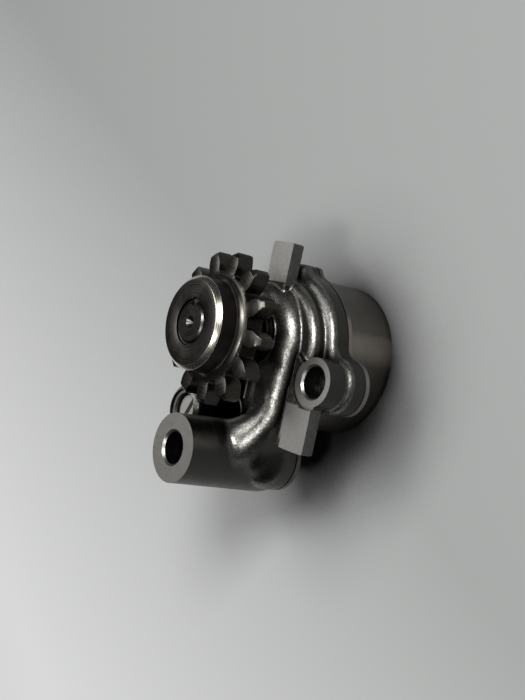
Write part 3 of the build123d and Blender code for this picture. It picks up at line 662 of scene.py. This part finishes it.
class OILPUMP_OT_cover(bpy.types.Operator):
    """Build the die-cast cover from its CAD shape, soft all over and cut at its machined faces"""

    bl_idname = "oilpump.cover"
    bl_label = "Cover"

    def execute(self, context):
        finish = context.scene.casting_finish
        pads = self.pads()
        cover = set_down("cover_casting", self.rough_casting(finish, pads))
        remesh = cover.modifiers.new("cells", "REMESH")
        remesh.mode = "VOXEL"
        remesh.voxel_size = finish.cell * MM
        smooth = cover.modifiers.new("soft", "SMOOTH")
        smooth.factor = 0.5
        smooth.iterations = finish.softness
        worked(cover)
        self.blend(cover)
        self.machine(cover, pads)
        self.finish_faces(cover, finish, pads)
        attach(cover, "housing")
        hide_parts("pump_cover")
        return {"FINISHED"}

    def pads(self):
        """The machined faces: outlet, two bolt bosses, valve, shaft boss and two lugs."""
        outlet, outlet_bore = mount("outlet_bore")
        right, _ = mount("right_bolt_bore")
        left, _ = mount("left_bolt_bore")
        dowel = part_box("ring_dowels")[1].x - right.x
        return [
            MachinedPad(outlet, outlet_bore, OUTLET_CUT),
            MachinedPad(right, dowel, BOLT_CUT),
            MachinedPad(left, dowel, BOLT_CUT),
            MachinedPad(*box_middle("relief_plug"), VALVE_CUT),
            # The shaft boss behind the gear, its face in painted shade
            MachinedPad(*box_middle("front_bush"), SHAFT_CUT, behind_gear=True),
            MachinedLug(LOW_LUG),
            MachinedLug(TOP_LUG),
        ]

    def rough_casting(self, finish, pads):
        """CAD shape of the cover with machining stock on its faces and its bores closed."""
        shape = cad_shape("pump_cover")
        stock = finish.stock * MM
        joint_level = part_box("cover_gasket")[1].z
        for pad in pads:
            pad.find_level(shape)
        for vertex in shape.verts:
            if vertex.co.z < joint_level + TOUCH:
                vertex.co.z -= stock
        for pad in pads:
            pad.add_stock(shape, stock)
        for pad in pads:
            pad.fill_bore(shape, stock)
        profile = [(radius * MM, height * MM) for radius, height in FOOT_PROFILE]
        turn(shape, profile, Vector(FOOT_PLACE) * MM)
        return as_mesh(shape, "cover_casting")

    def blend(self, cover):
        """Runs the elbow and its foot softly into the casting."""
        for name, centre, reach, rounds in BLENDS:
            zone = cover.vertex_groups.new(name=name)
            middle = Vector(centre) * MM
            for vertex in cover.data.vertices:
                away = (vertex.co - middle).length / (reach * MM)
                if away < 1:
                    zone.add([vertex.index], min(1.0, 2 * (1 - away)), "REPLACE")
            soft = cover.modifiers.new(name, "SMOOTH")
            soft.vertex_group = name
            soft.iterations = rounds
        worked(cover)

    def machine(self, cover, pads):
        """Cuts the joint face, and then the pads with their bores."""
        low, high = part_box("pump_cover")
        margin = JOINT_MARGIN * MM
        below = low - Vector((margin, margin, margin))
        joint_corner = Vector((high.x + margin, high.y + margin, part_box("cover_gasket")[1].z))
        joint_tool = bmesh.new()
        block(joint_tool, below, joint_corner)
        self.cut_away(cover, "joint_cut", joint_tool)
        pad_tool = bmesh.new()
        for pad in pads:
            pad.cut(pad_tool)
        self.cut_away(cover, "pad_cut", pad_tool)

    def cut_away(self, cover, name, shape):
        """Cuts the shape of a tool out of the cover."""
        tool = set_down(name, as_mesh(shape, name))
        cut = cover.modifiers.new(name, "BOOLEAN")
        cut.operation = "DIFFERENCE"
        cut.solver = "MANIFOLD"
        cut.object = tool
        worked(cover)
        bpy.data.objects.remove(tool)

    def finish_faces(self, cover, finish, pads):
        """Gives the casting, its milled faces and its cut rims their metals."""
        paint(
            cover,
            cast_metal(finish),
            milled_metal("milled_face", finish.face, 0.42),
            milled_metal("cut_rim", finish.rim, 0.3),
            # Painted shade: dark copy of the milled metal for the lug sides
            milled_metal("lug_side", scaled(finish.face, 0.24), 0.4),
            # Painted shade: dark copy of the rim metal for the bore walls
            milled_metal("bore_wall", scaled(finish.rim, 0.18), 0.3),
        )
        for face in cover.data.polygons:
            for pad in pads:
                slot = pad.slot_of(face) if pad.holds(face.center, OVERCUT) else None
                if slot is not None:
                    face.material_index = slot
        shade_smooth(cover.data, 32)


class OILPUMP_OT_cup(bpy.types.Operator):
    """Finish the turned cup and its gasket"""

    bl_idname = "oilpump.cup"
    bl_label = "Cup and gasket"

    def execute(self, context):
        finish = context.scene.machined_finish
        paint_nodes(["pump_body"], turned_metal(finish, "turned_cup", finish.cup, wall=True))
        paint_nodes(["cover_gasket"], seal_sheet(finish))
        return {"FINISHED"}


class OILPUMP_OT_drive(bpy.types.Operator):
    """Finish the shaft, the drive gear and what holds them"""

    bl_idname = "oilpump.drive"
    bl_label = "Shaft and gear"

    def execute(self, context):
        finish = context.scene.machined_finish
        axis = [coordinate / MM for coordinate in joint("drive_spin")["pos_m"][:2]]
        gear = self.broken_edges(finish)
        self.finish_faces(gear, finish, axis)
        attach(gear, "drive")
        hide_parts("drive_gear")
        paint_nodes(["drive_shaft"], turned_metal(finish, "shaft_steel", finish.shaft, axis, smooth=0.2))
        paint_nodes(["gear_key", "rotor_drive_pin"], plain_steel("ground_steel", finish.steel, 0.24))
        paint_nodes(["thrust_washer", "shaft_circlip"], plain_steel("oily_steel", finish.behind_gear, 0.3))
        return {"FINISHED"}

    def broken_edges(self, finish):
        """Copy of the gear with its edges lightly broken."""
        gear = set_down("gear_dressed", as_mesh(cad_shape("drive_gear"), "gear_dressed"))
        bevel = gear.modifiers.new("edges", "BEVEL")
        bevel.width = finish.edge * MM
        bevel.segments = 2
        bevel.limit_method = "ANGLE"
        bevel.angle_limit = radians(38)
        return worked(gear)

    def finish_faces(self, gear, finish, axis):
        """Gives the teeth, the hub and its chamfer their metals, with painted shade on the tooth flanks and the
        hub's wall.
        """
        paint(
            gear,
            turned_metal(finish, "gear_steel", finish.gear, axis, smooth=0.26),
            turned_metal(finish, "gear_flank", scaled(finish.gear, 0.42), axis, smooth=0.3),
            turned_metal(finish, "hub_face", scaled(finish.gear, 1.25), axis, smooth=0.24),
            turned_metal(finish, "hub_chamfer", finish.bright, axis, smooth=0.16),
            turned_metal(finish, "hub_wall", scaled(finish.gear, 0.17), axis, smooth=0.3),
        )
        centre = Vector((*axis, 0)) * MM
        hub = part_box("drive_gear")[1].z - HUB_DEPTH * MM
        for face in gear.data.polygons:
            out = (face.center - centre).xy.length
            tilt = abs(face.normal.z)
            # Painted shade: walls get darker copies of the gear steel
            if tilt < STEEP:
                face.material_index = SHADED_HUB_WALL if out < GEAR_RIM * MM else SHADED_FLANK
            elif face.center.z > hub:
                chamfer = STEEP < tilt < NEARLY_FLAT and out > HUB_RIM * MM
                face.material_index = HUB_CHAMFER if chamfer else HUB_FACE
            else:
                face.material_index = HUB_FACE if out < GEAR_SHOULDER * MM else TOOTH_FACE
        shade_smooth(gear.data, 30)


class OILPUMP_OT_rotors(bpy.types.Operator):
    """Finish the rotor set and the bushes"""

    bl_idname = "oilpump.rotors"
    bl_label = "Rotors and bushes"

    def execute(self, context):
        finish = context.scene.machined_finish
        paint_nodes(["inner_rotor", "outer_rotor"], plain_steel("sintered_steel", finish.rotor, 0.34))
        paint_nodes(["rear_bush", "front_bush"], plain_steel("sintered_bronze", finish.bronze, 0.36))
        return {"FINISHED"}


class OILPUMP_OT_fixings(bpy.types.Operator):
    """Finish the screw, dowels and relief valve"""

    bl_idname = "oilpump.fixings"
    bl_label = "Fixings and relief valve"

    def execute(self, context):
        finish = context.scene.machined_finish
        paint_nodes(
            ["locating_dowel", "cover_screw", "screw_washer", "passage_ball", "relief_plunger"],
            plain_steel("fixing_steel", finish.steel, 0.26),
        )
        paint_nodes(["relief_plug"], plain_steel("plug_steel", scaled(finish.steel, 2.2), 0.38))
        paint_nodes(["ring_dowels"], plain_steel("dowel_steel", scaled(finish.steel, 0.3), 0.26))
        self.coil(plain_steel("spring_steel", scaled(finish.steel, 0.6), 0.3))
        return {"FINISHED"}

    def coil(self, steel):
        """Copy of the valve's spring, in its own mesh and fixed to the housing."""
        spring = set_down("valve_spring", frame["nodes"]["relief_spring"].data.copy())
        paint(spring, steel)
        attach(spring, "housing")
        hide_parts("relief_spring")
        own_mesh(spring)


class OILPUMP_OT_stage(bpy.types.Operator):
    """Set the table, the lamps and the camera"""

    bl_idname = "oilpump.stage"
    bl_label = "Table, lamps and camera"

    def execute(self, context):
        studio = context.scene.studio_settings
        self.lay_table(studio)
        centre = (CAD_BOX[0] + CAD_BOX[1]) / 2
        for name, away, side, setting in LAMPS:
            self.hang_lamp(name, centre, Vector(away), side, getattr(studio, setting))
        self.light_room(studio)
        self.stand_camera(studio)
        return {"FINISHED"}

    def lay_table(self, studio):
        """Table at the pump's foot."""
        shape = bmesh.new()
        bmesh.ops.create_grid(shape, x_segments=2, y_segments=2, size=studio.table_size / 2)
        table = set_down("table", as_mesh(shape, "table"))
        table.location.z = CAD_BOX[0].z
        table.data.materials.append(table_top(studio))

    def hang_lamp(self, name, centre, away, side, watts):
        """Square lamp that faces the pump's centre."""
        lamp = bpy.data.lights.new(name, "AREA")
        lamp.size = side
        lamp.energy = watts
        holder = set_down(name, lamp)
        holder.location = centre + away
        holder.rotation_euler = away.to_track_quat("Z", "Y").to_euler()

    def light_room(self, studio):
        """Even soft light from the room."""
        world = bpy.data.worlds.new("room")
        world.use_nodes = True
        bpy.context.scene.world = world
        backdrop = world.node_tree.nodes["Background"]
        backdrop.inputs["Color"].default_value = ROOM_TINT
        backdrop.inputs["Strength"].default_value = studio.room

    def stand_camera(self, studio):
        """Camera of the fitted view."""
        camera = bpy.data.cameras.new("camera")
        camera.lens = studio.lens
        camera.sensor_fit = "VERTICAL"
        camera.sensor_height = 36
        holder = set_down("camera", camera)
        holder.location = studio.camera_place
        holder.rotation_euler = studio.camera_turn
        bpy.context.scene.camera = holder


class OILPUMP_PT_panel(bpy.types.Panel):
    """Buttons for each group of pieces, with the settings under them"""

    bl_idname = "OILPUMP_PT_panel"
    bl_label = "Oil Pump"
    bl_space_type = "VIEW_3D"
    bl_region_type = "UI"
    bl_category = "Oil Pump"

    def draw(self, context):
        for operator in OPERATORS:
            self.layout.operator(operator.bl_idname)
        for name in SETTINGS:
            group = getattr(context.scene, name)
            box = self.layout.box()
            for setting in group.__annotations__:
                box.prop(group, setting)


OPERATORS = (
    OILPUMP_OT_cover,
    OILPUMP_OT_cup,
    OILPUMP_OT_drive,
    OILPUMP_OT_rotors,
    OILPUMP_OT_fixings,
    OILPUMP_OT_stage,
)
SETTINGS = {
    "casting_finish": CastingFinish,
    "machined_finish": MachinedFinish,
    "studio_settings": StudioSettings,
}


def register():
    for kind in (*SETTINGS.values(), *OPERATORS, OILPUMP_PT_panel):
        bpy.utils.register_class(kind)
    for name, kind in SETTINGS.items():
        setattr(bpy.types.Scene, name, PointerProperty(type=kind))


def unregister():
    for name in SETTINGS:
        delattr(bpy.types.Scene, name)
    for kind in reversed((*SETTINGS.values(), *OPERATORS, OILPUMP_PT_panel)):
        bpy.utils.unregister_class(kind)


def main():
    """Builds every group in order."""
    register()
    bpy.ops.oilpump.cover()
    bpy.ops.oilpump.cup()
    bpy.ops.oilpump.drive()
    bpy.ops.oilpump.rotors()
    bpy.ops.oilpump.fixings()
    bpy.ops.oilpump.stage()
    bpy.context.scene.view_settings.view_transform = "Standard"


if __name__ == "__main__":
    main()
